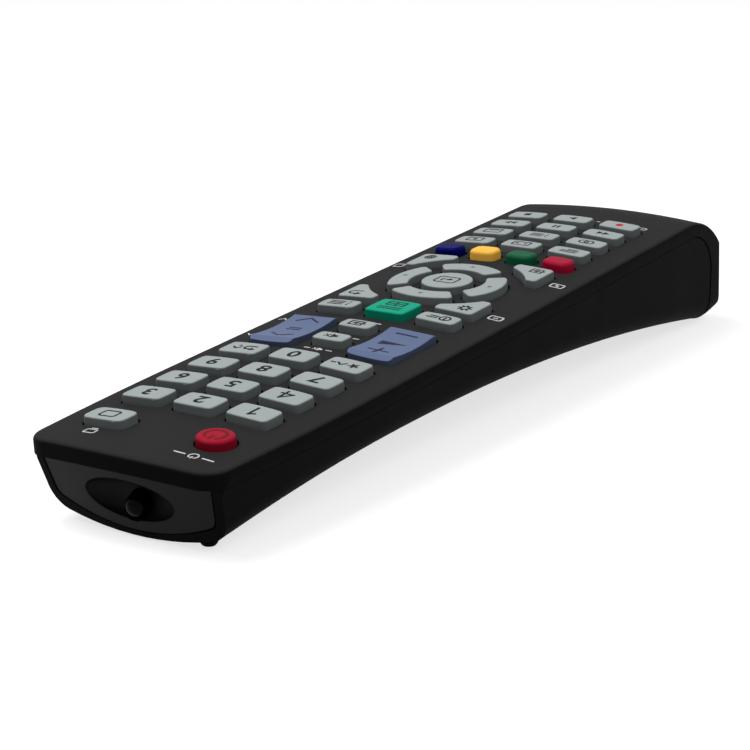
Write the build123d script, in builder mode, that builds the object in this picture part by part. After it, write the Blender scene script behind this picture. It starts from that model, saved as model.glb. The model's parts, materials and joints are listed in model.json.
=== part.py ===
from build123d import *
import os
from math import asin, atan2, cos, degrees, pi, radians, sin, sqrt, tan

os.makedirs("parts", exist_ok=True)

# Sizes are in millimetres. Places are given in the frame of the key face: x to the user's right,
# y from the round middle key toward the nose, z out of the face, with z = 0 on its centre line.

# Outline of the housing in plan
body_width = 51.6
end_width = 50.6
nose_width = 47.0
shoulder_y = 70.0
nose_y = 121.4
tail_y = -103.0
nose_bow = 1.8
tail_bow = 2.9
nose_corner = 6.0
tail_corner = 9.0

# Face: gently crowned across, rolled over at the tail
crown_radius = 245.0
roll_start_y = -76.5
roll_reach = 0.8
face_edge_round = 1.0

# Wall and the joint line between the two shells
wall = 2.0
skirt = 3.6
seam_gap = 0.3
seam_start_y = -78.0
seam_roll_radius = 15.0
shell_step = 0.15
lip_wall = 1.0
lip_clearance = 0.3

# Underside: shallow at the waist, deep at the heel where the cells are
nose_depth = 20.45
waist_y = 68.0
waist_depth = 16.0
heel_y = -92.0
heel_depth = 33.0
tail_rise = 2.0
nose_bowl = 3.0
heel_bowl = 2.4
nose_lean = 9.0
tail_lean = 3.0
nose_edge_round = 6.0
tail_edge_round = 6.5
section_count = 12
section_overrun = 4.0
side_steps = 12

# Nose front, set back under the face shell and leaning
front_setback = 2.1
front_lean = 15.0

# Feet that the remote rests on, with the heel
foot_x = 14.3
foot_y = 111.0
foot_depth = 19.85
foot_radius = 2.0
tail_low_depth = 31.0
rest_flat = 0.5

# Keys
key_travel = 1.0
key_height = 1.85
key_clearance = 0.4
key_draft = 4.0
key_edge_round = 0.45
key_bow = 0.2
key_corner = 1.2
flange_top = 3.1
flange_thick = 0.8
flange_lip = 0.7
pill_radius = 1.6
pill_gap = 0.1

column_pitch = 13.35
number_pitch = 10.65
number_first_y = 93.1
number_size = (10.3, 7.0)
power_spot = (-14.4, 106.8)
power_radius = 4.0
power_edge_round = 0.8
tv_spot = (11.7, 107.1)
tv_size = (10.6, 6.6)
tv_corner = 1.8
small_size = (8.5, 5.1)
small_rows_y = (47.2, 37.2)
wide_size = (10.2, 5.4)
wide_y = 25.0
menu_size = (10.9, 9.2)
menu_y = 23.0
ok_radius = 6.2
ring_inner = 9.0
ring_outer = 14.2
ring_span = 75.0
corner_spot = (13.2, 14.4)
corner_size = (10.1, 9.9)
corner_bite = 18.2
corner_pill = 1.2
colour_size = (7.3, 5.7)
colour_pitch = 10.2
colour_y = -25.9
colour_rise = 0.4
colour_corner = 1.9
colour_edge_round = 0.9
lower_pitch = 8.82
lower_first_y = -34.8
lower_size = (10.2, 5.6)

# Rocker keys tip about a pin line across their middle
rocker_size = (11.3, 19.6)
rocker_spot = (13.0, 43.3)
rocker_crest = 1.5
rocker_clearance = 0.5
rocker_tip = 4.0
rocker_dip = 0.6
rocker_bevel = (1.8, 0.65)
rocker_edge_round = 0.15
rocker_flange_length = 8.0
rocker_flange_gap = 0.32
rocker_flange_thick = 0.6
rocker_pill_y = 6.0
rocker_corner = 0.3

# Keypad mat and circuit board
mat_top = 5.4
mat_thick = 0.8
mat_width = 40.6
mat_front_y = 112.6
mat_back_y = -67.0
mat_hole_clearance = 0.5
board_thick = 1.6
board_overhang = 0.2
board_corner = 3.0
rib_x = 16.0
rib_thick = 1.5
rib_front_y = 100.0
rib_back_y = -24.0

# Cells, with the battery bay that they lie in
cell_diameter = 10.5
cell_length = 44.5
cell_nub_radius = 1.9
cell_nub_length = 1.0
cell_pitch = 11.2
cell_edge_round = 0.5
cell_clearance = 0.35
cell_over_skin = 0.95
bay_y = -61.0
bay_slope = 9.0
bay_wall = 1.0
bay_length = 51.2
terminal_thick = 0.4
terminal_size = (8.0, 7.0)
terminal_gap = 0.05
spring_wire = 0.6
spring_turns = 3.5
spring_radius = 3.0
spring_tip_radius = 1.9
spring_steps = 10

# Battery cover
cover_width = 32.4
cover_length = 52.4
cover_corner = 4.0
cover_gap = 0.3
ledge_width = 3.0
ledge_thick = 1.2
ledge_gap = 0.2
grip_count = 5
grip_length = 13.0
grip_width = 0.9
grip_depth = 0.5
grip_pitch = 2.0
grip_from_end = 5.0

# Nose window with its scooped recess, and the infrared lamp behind it
window_top_width = 42.3
window_bottom_width = 39.5
window_side_depth = 13.45
window_depth = 17.95
window_corner = 2.5
window_thick = 1.6
window_inset = 0.15
window_gap = 0.35
scoop_width = 22.8
scoop_height = 9.6
scoop_depth_z = 11.2
scoop_forward = 0.8
scoop_wall = 1.2
lamp_bore = 3.0
lamp_radius = 2.5
lamp_depth_z = 13.0
lamp_dome_y = 114.5
lamp_length = 7.6
lamp_rim = 0.4
lamp_rim_length = 1.0
lead_size = 0.5
lead_pitch = 2.54
lead_back = 2.5
lead_hole = 0.9
lead_stub = 0.6

# Parts on the underside of the board
chip_size = (7.5, 17.9, 2.3)
chip_y = 20.0
chip_leg_pitch = 1.27
chip_leg_count = 14
chip_leg_size = (1.4, 0.4, 0.9)
capacitor_radius = 2.5
capacitor_height = 5.5
capacitor_spot = (7.0, 52.0)
capacitor_groove = 0.3

# Worked out from the sizes above
roll_radius = roll_start_y - tail_y + roll_reach
board_top = mat_top + mat_thick
board_bottom = board_top + board_thick
tilt = degrees(atan2(heel_depth - rest_flat - foot_depth, foot_y - heel_y))
far = 2 * body_width
deep = 3 * heel_depth
above = 2 * skirt


def crown_drop(x, radius=crown_radius):
    return radius - sqrt(radius**2 - x**2)


def underside_depth(y):
    if y > waist_y:
        return waist_depth + (nose_depth - waist_depth) * ((y - waist_y) / (nose_y - waist_y)) ** 2
    if y < heel_y:
        return heel_depth - tail_rise * ((heel_y - y) / (heel_y - tail_y)) ** 2
    return waist_depth + (heel_depth - waist_depth) * ((waist_y - y) / (waist_y - heel_y)) ** 2


def half_width(y):
    # Half the width of the remote, least at the nose
    middle_y = (nose_y + tail_y) / 2
    side_bow = (body_width - end_width) / 2 * ((y - middle_y) / (nose_y - middle_y)) ** 2
    nose_share = max(y - shoulder_y, 0) / (nose_y - shoulder_y)
    return body_width / 2 - side_bow - (end_width - nose_width) / 2 * nose_share**2


# The remote stands on its feet and heel, so the face slopes down toward the nose
nose_reach = nose_y * cos(radians(tilt)) - face_edge_round * sin(radians(tilt))
tail_reach = tail_y * cos(radians(tilt)) - tail_low_depth * sin(radians(tilt))
face_origin = (
    0,
    -(nose_reach + tail_reach) / 2,
    foot_y * sin(radians(tilt)) + foot_depth * cos(radians(tilt)),
)
face = Plane(origin=face_origin, x_dir=(1, 0, 0), z_dir=(0, sin(radians(tilt)), cos(radians(tilt))))
face_up = Axis(origin=face.origin, direction=face.z_dir)


def across(y, z=0.0):
    # Plane across the remote, with local x to the right and local y out of the face
    return Plane(origin=face.from_local_coords((0, y, z)), x_dir=face.x_dir, z_dir=-face.y_dir)


def along(x):
    # Plane along the remote, with local x toward the nose and local y out of the face
    return Plane(origin=face.from_local_coords((x, 0, 0)), x_dir=face.y_dir, z_dir=face.x_dir)


def plan_outline(level, inset=0.0):
    nose_end = nose_y - nose_bow - inset
    tail_end = tail_y + tail_bow + inset
    side_spots = [tail_end + (nose_end - tail_end) * step / side_steps for step in range(side_steps + 1)]
    right_side = [(half_width(y) - inset, y) for y in side_spots]
    left_side = [(-x, y) for x, y in right_side]
    along_remote = Axis(origin=face.origin, direction=face.y_dir)
    with BuildSketch(face.offset(level)) as plan:
        with BuildLine():
            ThreePointArc(left_side[-1], (0, nose_y - inset), right_side[-1])
            Spline(right_side)
            ThreePointArc(right_side[0], (0, tail_y + inset), left_side[0])
            Spline(left_side)
        make_face()
        fillet(plan.vertices().group_by(along_remote)[-1], nose_corner - inset)
        fillet(plan.vertices().group_by(along_remote)[0], tail_corner - inset)
    return plan.sketch


def under_face(depth, start_y, radius):
    # Everything below the crowned face lowered by depth, rolled over at the tail
    axis_depth = depth + radius
    with BuildPart() as under:
        with BuildSketch(across(start_y)):
            with BuildLine():
                ThreePointArc(
                    (-far / 2, -depth - crown_drop(far / 2)),
                    (0, -depth),
                    (far / 2, -depth - crown_drop(far / 2)),
                )
                Polyline(
                    (far / 2, -depth - crown_drop(far / 2)),
                    (far / 2, -deep),
                    (-far / 2, -deep),
                    (-far / 2, -depth - crown_drop(far / 2)),
                )
            make_face()
        extrude(amount=-(nose_y + far - start_y))
        with BuildSketch(across(start_y)):
            with BuildLine():
                ThreePointArc(
                    (-far / 2, -depth - crown_drop(far / 2)),
                    (0, -depth),
                    (far / 2, -depth - crown_drop(far / 2)),
                )
                Polyline(
                    (far / 2, -depth - crown_drop(far / 2)),
                    (far / 2, -axis_depth),
                    (-far / 2, -axis_depth),
                    (-far / 2, -depth - crown_drop(far / 2)),
                )
            make_face()
        roll_axis = Axis(
            origin=face.from_local_coords((0, start_y, -axis_depth)), direction=face.x_dir
        )
        revolve(axis=roll_axis, revolution_arc=90)
        with BuildSketch(face.offset(-axis_depth)):
            with BuildLine():
                ThreePointArc(
                    (-far / 2, start_y - radius + crown_drop(far / 2)),
                    (0, start_y - radius),
                    (far / 2, start_y - radius + crown_drop(far / 2)),
                )
                Polyline(
                    (far / 2, start_y - radius + crown_drop(far / 2)),
                    (far / 2, start_y),
                    (-far / 2, start_y),
                    (-far / 2, start_y - radius + crown_drop(far / 2)),
                )
            make_face()
        extrude(amount=-(deep - axis_depth))
    return under.part


def behind_front(inset):
    # Everything behind the leaning, bowed front of the lower shell
    front_radius = (end_width / 2) ** 2 / (2 * nose_bow)
    top_y = nose_y - front_setback - inset + (skirt + above) * tan(radians(front_lean))
    turn_y = nose_y - front_setback - front_radius
    with BuildPart() as behind:
        with BuildSketch(along(0)):
            Polygon(
                (turn_y, above),
                (top_y, above),
                (top_y - (above + deep) * tan(radians(front_lean)), -deep),
                (turn_y, -deep),
                align=None,
            )
        turn_axis = Axis(origin=face.from_local_coords((0, turn_y, 0)), direction=face.z_dir)
        revolve(axis=turn_axis, revolution_arc=360)
        with BuildSketch(face.offset(above)):
            with Locations((0, turn_y)):
                Rectangle(far, far * 4, align=(Align.CENTER, Align.MAX))
        extrude(amount=-(above + deep))
    return behind.part


def section(y, inset):
    share = min(max((nose_y - y) / (nose_y - tail_y), 0.0), 1.0)
    lean = radians(nose_lean + (tail_lean - nose_lean) * share)
    edge_round = nose_edge_round + (tail_edge_round - nose_edge_round) * share
    half_seam = half_width(y) - inset / cos(lean)
    depth = underside_depth(y) - inset
    side_depth = depth - nose_bowl - (heel_bowl - nose_bowl) * share
    half_top = half_seam + (skirt + above) * tan(lean)
    half_bottom = half_seam - (side_depth - skirt) * tan(lean)
    with BuildSketch(across(y)) as cut:
        with BuildLine():
            ThreePointArc((-half_bottom, -side_depth), (0, -depth), (half_bottom, -side_depth))
            Polyline(
                (half_bottom, -side_depth),
                (half_top, above),
                (-half_top, above),
                (-half_bottom, -side_depth),
            )
        make_face()
        fillet(cut.vertices().group_by(face_up)[0], edge_round - inset)
    return cut.sketch


def upper_form(inset):
    # Solid shape of the whole housing, which the upper shell closes, shrunk on every side by inset
    first_y = nose_y + section_overrun
    step = (first_y - heel_y) / (section_count - 1)
    nose_to_heel = [first_y - step * number for number in range(section_count)]
    heel_to_tail = [heel_y, (heel_y + tail_y) / 2, tail_y, tail_y - section_overrun]
    with BuildPart() as form:
        for spots in (nose_to_heel, heel_to_tail):
            loft([section(y, inset) for y in spots])
        extrude(plan_outline(-deep, inset), amount=deep + above, mode=Mode.INTERSECT)
        add(under_face(inset, roll_start_y, roll_radius - inset), mode=Mode.INTERSECT)
    return form.part


def lower_form(inset):
    # Solid shape of the lower shell, a little inside the upper one and set back at the nose
    with BuildPart() as form:
        add(upper_form(shell_step + inset))
        add(behind_front(inset), mode=Mode.INTERSECT)
    return form.part


# Outlines of the keys, each drawn about its own centre and grown on every side


def bowed_rectangle(size, corner, grow):
    half_x = size[0] / 2 + grow
    half_y = size[1] / 2 + grow
    side_x = half_x - key_bow
    side_y = half_y - key_bow
    with BuildSketch() as outline:
        with BuildLine():
            ThreePointArc((-side_x, -side_y), (0, -half_y), (side_x, -side_y))
            ThreePointArc((side_x, -side_y), (half_x, 0), (side_x, side_y))
            ThreePointArc((side_x, side_y), (0, half_y), (-side_x, side_y))
            ThreePointArc((-side_x, side_y), (-half_x, 0), (-side_x, -side_y))
        make_face()
        fillet(outline.vertices(), corner + grow)
    return outline.sketch


def round_outline(radius, grow):
    with BuildSketch() as outline:
        Circle(radius + grow)
    return outline.sketch


def ring_outline(turn, grow):
    # One arc of the ring, turned from its place nearest the nose
    half_span = radians(ring_span / 2)
    tip_y = -grow / sin(half_span)
    reach = 2 * ring_outer
    with BuildSketch(Plane.XY.rotated((0, 0, turn))) as outline:
        Circle(ring_outer + grow)
        Circle(ring_inner - grow, mode=Mode.SUBTRACT)
        Polygon(
            (0, tip_y),
            (reach * tan(half_span), tip_y + reach),
            (-reach * tan(half_span), tip_y + reach),
            align=None,
            mode=Mode.INTERSECT,
        )
        fillet(outline.vertices(), key_corner + grow)
    return outline.sketch


def corner_outline(side_x, side_y, grow):
    # Rectangle with a bite round the ring
    with BuildSketch() as outline:
        Rectangle(corner_size[0] + 2 * grow, corner_size[1] + 2 * grow)
        with Locations((-side_x * corner_spot[0], -side_y * corner_spot[1])):
            Circle(corner_bite - grow, mode=Mode.SUBTRACT)
        fillet(outline.vertices(), key_corner + grow)
    return outline.sketch


def rocker_outline(grow):
    # Straight long sides and bowed ends
    half_x = rocker_size[0] / 2 + grow
    half_y = rocker_size[1] / 2 + grow
    side_y = half_y - rocker_corner
    with BuildSketch() as outline:
        with BuildLine():
            ThreePointArc((-half_x, -side_y), (0, -half_y), (half_x, -side_y))
            Line((half_x, -side_y), (half_x, side_y))
            ThreePointArc((half_x, side_y), (0, half_y), (-half_x, side_y))
            Line((-half_x, side_y), (-half_x, -side_y))
        make_face()
        fillet(outline.vertices(), key_corner + grow)
    return outline.sketch


def plain_key(draw, sizes, x, y, pill=(0, 0), rise=0.0, edge_round=key_edge_round):
    return {
        "draw": draw,
        "sizes": sizes,
        "spot": (x, y),
        "pill": (x + pill[0], y + pill[1]),
        "rise": rise,
        "edge_round": edge_round,
    }


# Every pushing key by name, with its outline and its place on the face
keys = {}

number_names = (
    ("key_1", "key_2", "key_3"),
    ("key_4", "key_5", "key_6"),
    ("key_7", "key_8", "key_9"),
    ("key_favourite", "key_0", "key_previous_channel"),
)
for row, names in enumerate(number_names):
    for column, name in enumerate(names):
        x = (column - 1) * column_pitch
        y = number_first_y - row * number_pitch
        keys[name] = plain_key(bowed_rectangle, (number_size, key_corner), x, y)

keys["key_power"] = plain_key(
    round_outline, (power_radius,), *power_spot, edge_round=power_edge_round
)
keys["key_tv"] = plain_key(bowed_rectangle, (tv_size, tv_corner), *tv_spot)
keys["key_mute"] = plain_key(bowed_rectangle, (small_size, key_corner), 0, small_rows_y[0])
keys["key_source"] = plain_key(bowed_rectangle, (small_size, key_corner), 0, small_rows_y[1])
keys["key_info"] = plain_key(bowed_rectangle, (wide_size, key_corner), -column_pitch, wide_y)
keys["key_guide"] = plain_key(bowed_rectangle, (wide_size, key_corner), column_pitch, wide_y)
keys["key_menu"] = plain_key(bowed_rectangle, (menu_size, key_corner), 0, menu_y)
keys["key_ok"] = plain_key(round_outline, (ok_radius,), 0, 0)

ring_middle = (ring_inner + ring_outer) / 2
ring_turns = {"key_up": 0, "key_left": 90, "key_down": 180, "key_right": 270}
for name, turn in ring_turns.items():
    pill = (-ring_middle * sin(radians(turn)), ring_middle * cos(radians(turn)))
    keys[name] = plain_key(ring_outline, (turn,), 0, 0, pill)

corner_sides = {
    "key_tools": (-1, 1),
    "key_return": (1, 1),
    "key_exit": (-1, -1),
    "key_web": (1, -1),
}
for name, (side_x, side_y) in corner_sides.items():
    keys[name] = plain_key(
        corner_outline,
        (side_x, side_y),
        side_x * corner_spot[0],
        side_y * corner_spot[1],
        (side_x * corner_pill, side_y * corner_pill),
    )

colour_names = ("key_red", "key_green", "key_yellow", "key_blue")
for number, name in enumerate(colour_names):
    keys[name] = plain_key(
        bowed_rectangle,
        (colour_size, colour_corner),
        (number - (len(colour_names) - 1) / 2) * colour_pitch,
        colour_y,
        rise=colour_rise,
        edge_round=colour_edge_round,
    )

lower_names = (
    ("key_text", "key_size", "key_picture"),
    ("key_dual", "key_description", "key_subtitle"),
    ("key_rewind", "key_pause", "key_forward"),
    ("key_record", "key_play", "key_stop"),
)
for row, names in enumerate(lower_names):
    for column, name in enumerate(names):
        x = (column - 1) * column_pitch
        y = lower_first_y - row * lower_pitch
        keys[name] = plain_key(bowed_rectangle, (lower_size, key_corner), x, y)

# The two rockers, volume on the user's left and channel on the right
rockers = {
    "key_volume": (-rocker_spot[0], rocker_spot[1]),
    "key_channel": (rocker_spot[0], rocker_spot[1]),
}

pill_spots = [key["pill"] for key in keys.values()]
for x, y in rockers.values():
    pill_spots.append((x, y + rocker_pill_y))
    pill_spots.append((x, y - rocker_pill_y))


def placed(outline, spot, level):
    with BuildSketch(face.offset(level)) as sketch:
        with Locations(spot):
            add(outline)
    return sketch.sketch


def key_top(rise):
    # Everything below the crowned plane of the key tops
    return under_face(-key_height - rise, roll_start_y, roll_radius)


pill_bottom = board_top - key_travel - pill_gap
flange_bottom = flange_top + flange_thick
plain_top = key_top(0.0)
colour_top = key_top(colour_rise)
blank_height = key_height + 2 * colour_rise

# Pushing keys, each with the flange that keeps it in and the stem of its carbon pill
draft_inset = blank_height * tan(radians(key_draft))
for name, spec in keys.items():
    foot = spec["draw"](*spec["sizes"], 0.0)
    crest = spec["draw"](*spec["sizes"], -draft_inset)
    flange = spec["draw"](*spec["sizes"], key_clearance + flange_lip)
    top_form = colour_top if spec["rise"] > 0 else plain_top
    with BuildPart() as key:
        loft(
            [placed(foot, spec["spot"], 0), placed(crest, spec["spot"], blank_height)],
            ruled=True,
        )
        add(top_form, mode=Mode.INTERSECT)
        top_edges = key.faces().sort_by(face_up)[-1].edges()
        fillet(top_edges, spec["edge_round"])
        extrude(placed(foot, spec["spot"], -flange_top), amount=flange_top)
        extrude(placed(flange, spec["spot"], -flange_bottom), amount=flange_thick)
        extrude(
            placed(round_outline(pill_radius, 0.0), spec["pill"], -pill_bottom),
            amount=pill_bottom - flange_top,
        )
    key.part.label = name
    export_step(key.part, f"parts/{name}.step")

# Rocker keys, dipped along their length and bevelled at both ends
rocker_sweep = sin(radians(rocker_tip))
rocker_flange_drop = rocker_flange_gap + rocker_flange_length / 2 * rocker_sweep
rocker_flange_top = flange_top + rocker_flange_drop
rocker_pill_bottom = board_top - pill_gap - (rocker_pill_y + pill_radius) * rocker_sweep
rocker_foot = rocker_outline(0.0)
half_rocker = rocker_size[1] / 2
top_facing = cos(radians(60.0))


def rocker_side(x):
    # Plane along the remote that leans with the crowned face at x
    lean = asin(x / (crown_radius + key_height))
    return Plane(
        origin=face.from_local_coords((x, 0, -crown_drop(x))),
        x_dir=face.y_dir,
        z_dir=face.x_dir * cos(lean) - face.z_dir * sin(lean),
    )


for name, spot in rockers.items():
    tail_end = spot[1] - half_rocker
    nose_end = spot[1] + half_rocker
    with BuildPart() as key:
        with BuildSketch(rocker_side(spot[0])):
            with BuildLine():
                ThreePointArc(
                    (tail_end + rocker_bevel[0], rocker_crest),
                    (spot[1], rocker_crest - rocker_dip),
                    (nose_end - rocker_bevel[0], rocker_crest),
                )
                Polyline(
                    (nose_end - rocker_bevel[0], rocker_crest),
                    (nose_end, rocker_crest - rocker_bevel[1]),
                    (nose_end, -2 * flange_top),
                    (tail_end, -2 * flange_top),
                    (tail_end, rocker_crest - rocker_bevel[1]),
                    (tail_end + rocker_bevel[0], rocker_crest),
                )
            make_face()
        extrude(amount=rocker_size[0], both=True)
        extrude(
            placed(rocker_foot, spot, -flange_top),
            amount=flange_top + 2 * rocker_crest,
            mode=Mode.INTERSECT,
        )
        tops = key.faces().filter_by(lambda side: side.normal_at().dot(face.z_dir) > top_facing)
        creases = tops[0].edges() + tops[1].edges() + tops[2].edges()
        rim = [edge for edge in creases if creases.count(edge) == 1]
        fillet(rim, rocker_edge_round)
        with BuildSketch(face.offset(-rocker_flange_top - rocker_flange_thick)):
            with Locations(spot):
                Rectangle(rocker_size[0] + 2 * (rocker_clearance + flange_lip), rocker_flange_length)
        extrude(amount=rocker_flange_thick)
        with BuildSketch(face.offset(-rocker_flange_top)):
            with Locations(spot):
                Rectangle(rocker_size[0] - 2 * key_corner, rocker_flange_length)
        extrude(amount=rocker_flange_drop)
        pill_places = [(spot[0], spot[1] + rocker_pill_y), (spot[0], spot[1] - rocker_pill_y)]
        with BuildSketch(face.offset(-rocker_pill_bottom)):
            with Locations(*pill_places):
                Circle(pill_radius)
        extrude(amount=rocker_pill_bottom - flange_top)
    key.part.label = name
    export_step(key.part, f"parts/{name}.step")

# Face shell: crowned top with the key openings, rolled over at the tail
openings = [
    placed(spec["draw"](*spec["sizes"], key_clearance), spec["spot"], -2 * skirt)
    for spec in keys.values()
]
openings += [placed(rocker_outline(rocker_clearance), spot, -2 * skirt) for spot in rockers.values()]
seam_form = under_face(skirt, seam_start_y, seam_roll_radius)
upper_outside = upper_form(0)
upper_inside = upper_form(wall)
with BuildPart() as top_housing:
    add(upper_outside)
    top_edges = top_housing.edges().filter_by(
        lambda edge: face.to_local_coords(edge.center()).Z > -roll_radius / 2
        and edge.geom_type != GeomType.LINE
    )
    fillet(top_edges, face_edge_round)
    add(seam_form, mode=Mode.SUBTRACT)
    add(upper_inside, mode=Mode.SUBTRACT)
    for opening in openings:
        extrude(opening, amount=flange_top + 2 * skirt, mode=Mode.SUBTRACT)
    split(bisect_by=Plane.XY, keep=Keep.TOP)
top_housing.part.label = "top_housing"
export_step(top_housing.part, "parts/top_housing.step")

# Battery bay, a trough tilted to follow the underside, with local y toward the nose
bay_depth = underside_depth(bay_y) - wall - cell_over_skin - cell_diameter / 2
bay_turn = radians(bay_slope)
bay = Plane(
    origin=face.from_local_coords((0, bay_y, -bay_depth)),
    x_dir=face.x_dir,
    z_dir=face.z_dir * cos(bay_turn) - face.y_dir * sin(bay_turn),
)
bay_width = cell_pitch + cell_diameter + 2 * cell_clearance
bay_ceiling = cell_diameter / 2 + cell_clearance


def cover_outline(grow):
    with BuildSketch(bay.offset(-heel_depth)) as outline:
        RectangleRounded(cover_width + 2 * grow, cover_length + 2 * grow, cover_corner + grow)
    return outline.sketch


def front_outline(grow):
    # Outline of the nose window, seen from the front
    half_top = window_top_width / 2 + grow
    half_bottom = window_bottom_width / 2 + grow
    side_depth = window_side_depth + grow
    with BuildSketch(across(nose_y + section_overrun)) as outline:
        with BuildLine():
            ThreePointArc(
                (-half_bottom, -side_depth), (0, -window_depth - grow), (half_bottom, -side_depth)
            )
            Polyline(
                (half_bottom, -side_depth),
                (half_top, -skirt),
                (half_top, 0),
                (-half_top, 0),
                (-half_top, -skirt),
                (-half_bottom, -side_depth),
            )
        make_face()
        fillet(outline.vertices().group_by(face_up)[0], window_corner + grow)
    return outline.sketch


window_reach = 4 * section_overrun
lower_outside = lower_form(0)
lower_inside = lower_form(wall)
lower_middle = lower_form(wall / 2)
ledge_seat = lower_form(wall + ledge_gap)
ledge_inside = lower_form(wall + ledge_gap + ledge_thick)
lower_seam = under_face(skirt + seam_gap, seam_start_y, seam_roll_radius - seam_gap)

# What the lower shell loses to the cover: the skin inside the cover's outline
with BuildPart() as cover_pocket:
    extrude(cover_outline(cover_gap), amount=heel_depth)
    add(ledge_seat, mode=Mode.SUBTRACT)

# What it gains: the ledge under the cover's edge, the trough and the ribs under the board
with BuildPart() as ledge:
    extrude(cover_outline(ledge_width), amount=heel_depth)
    add(lower_middle, mode=Mode.INTERSECT)
    add(ledge_inside, mode=Mode.SUBTRACT)

with BuildPart() as inner_walls:
    with BuildSketch(bay.offset(-heel_depth)):
        Rectangle(bay_width + 2 * bay_wall, bay_length + 2 * bay_wall)
    extrude(amount=heel_depth + bay_ceiling + bay_wall)
    with BuildSketch(face.offset(-heel_depth)):
        with Locations((-rib_x, rib_back_y), (rib_x, rib_back_y)):
            Rectangle(rib_thick, rib_front_y - rib_back_y, align=(Align.CENTER, Align.MIN))
    extrude(amount=heel_depth - board_bottom)
    add(lower_middle, mode=Mode.INTERSECT)

with BuildPart() as lip:
    extrude(plan_outline(-board_top, wall + lip_clearance), amount=board_top - skirt)
    extrude(
        plan_outline(-board_top, wall + lip_clearance + lip_wall),
        amount=board_top - skirt,
        mode=Mode.SUBTRACT,
    )
    with BuildSketch(face.offset(-board_top)):
        with Locations((0, (mat_front_y + seam_start_y) / 2)):
            Rectangle(body_width, mat_front_y - seam_start_y - 2 * bay_wall)
    extrude(amount=board_top - skirt, mode=Mode.INTERSECT)

with BuildPart() as bottom_housing:
    add(lower_outside)
    foot_middle = -foot_depth - rest_flat + foot_radius
    for side in (-foot_x, foot_x):
        with Locations(face.from_local_coords((side, foot_y, foot_middle))):
            Sphere(foot_radius)
    add(lower_inside, mode=Mode.SUBTRACT)
    add(lower_seam, mode=Mode.INTERSECT)
    extrude(front_outline(window_gap), amount=window_reach, mode=Mode.SUBTRACT)
    add(lip.part)
    add(inner_walls.part)
    add(ledge.part)
    add(cover_pocket.part, mode=Mode.SUBTRACT)
    with BuildSketch(bay.offset(-heel_depth)):
        Rectangle(bay_width, bay_length)
    extrude(amount=heel_depth + bay_ceiling, mode=Mode.SUBTRACT)
    with BuildSketch(across(nose_y, -lamp_depth_z)):
        Circle(lamp_radius + lamp_rim + lip_clearance)
    extrude(amount=nose_y - lamp_dome_y + lamp_length + lip_clearance, mode=Mode.SUBTRACT)
    split(bisect_by=Plane.XY, keep=Keep.TOP)
bottom_housing.part.label = "bottom_housing"
export_step(bottom_housing.part, "parts/bottom_housing.step")

# Battery cover, a piece of the same skin, with grip grooves near its tail end
groove_floor = lower_form(grip_depth)
with BuildPart() as grip_grooves:
    with BuildSketch(bay.offset(-heel_depth)):
        for number in range(grip_count):
            groove_y = grip_from_end + number * grip_pitch - cover_length / 2
            with Locations((0, groove_y)):
                SlotOverall(grip_length, grip_width)
    extrude(amount=heel_depth)
    add(groove_floor, mode=Mode.SUBTRACT)

with BuildPart() as battery_cover:
    extrude(cover_outline(0), amount=heel_depth)
    add(lower_outside, mode=Mode.INTERSECT)
    add(lower_inside, mode=Mode.SUBTRACT)
    add(grip_grooves.part, mode=Mode.SUBTRACT)
    split(bisect_by=Plane.XY, keep=Keep.TOP)
battery_cover.part.label = "battery_cover"
export_step(battery_cover.part, "parts/battery_cover.step")

# Nose window: a curved plate under the face shell, scooped out round the lamp
window_inside = lower_form(window_inset + window_thick)
window_outside = lower_form(window_inset)
scoop_y = (
    nose_y - front_setback - window_inset - (scoop_depth_z - skirt) * tan(radians(front_lean))
)


def scoop_form(grow):
    # Long egg shape lying across the nose
    half_width = scoop_width / 2 + grow
    half_height = scoop_height / 2 + grow
    centre_y = scoop_y + scoop_forward
    with BuildPart() as form:
        with BuildSketch(face.offset(-scoop_depth_z)):
            with Locations((0, centre_y)):
                Ellipse(half_width, half_height)
                Rectangle(
                    2 * half_width,
                    half_height,
                    align=(Align.CENTER, Align.MAX),
                    mode=Mode.SUBTRACT,
                )
        scoop_axis = Axis(
            origin=face.from_local_coords((0, centre_y, -scoop_depth_z)), direction=face.x_dir
        )
        revolve(axis=scoop_axis)
    return form.part


scoop_outside = scoop_form(scoop_wall)
scoop_inside = scoop_form(0)
with BuildPart() as nose_window:
    extrude(front_outline(0), amount=window_reach)
    add(window_outside, mode=Mode.INTERSECT)
    add(window_inside, mode=Mode.SUBTRACT)
    add(lower_seam, mode=Mode.INTERSECT)
with BuildPart() as window_scoop:
    add(scoop_outside)
    add(window_outside, mode=Mode.INTERSECT)
with BuildPart() as window_with_scoop:
    add(nose_window.part)
    add(window_scoop.part)
    add(scoop_inside, mode=Mode.SUBTRACT)
    with BuildSketch(across(nose_y, -lamp_depth_z)):
        Circle(lamp_bore)
    extrude(amount=far / 4, mode=Mode.SUBTRACT)
window_with_scoop.part.label = "nose_window"
export_step(window_with_scoop.part, "parts/nose_window.step")

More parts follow.
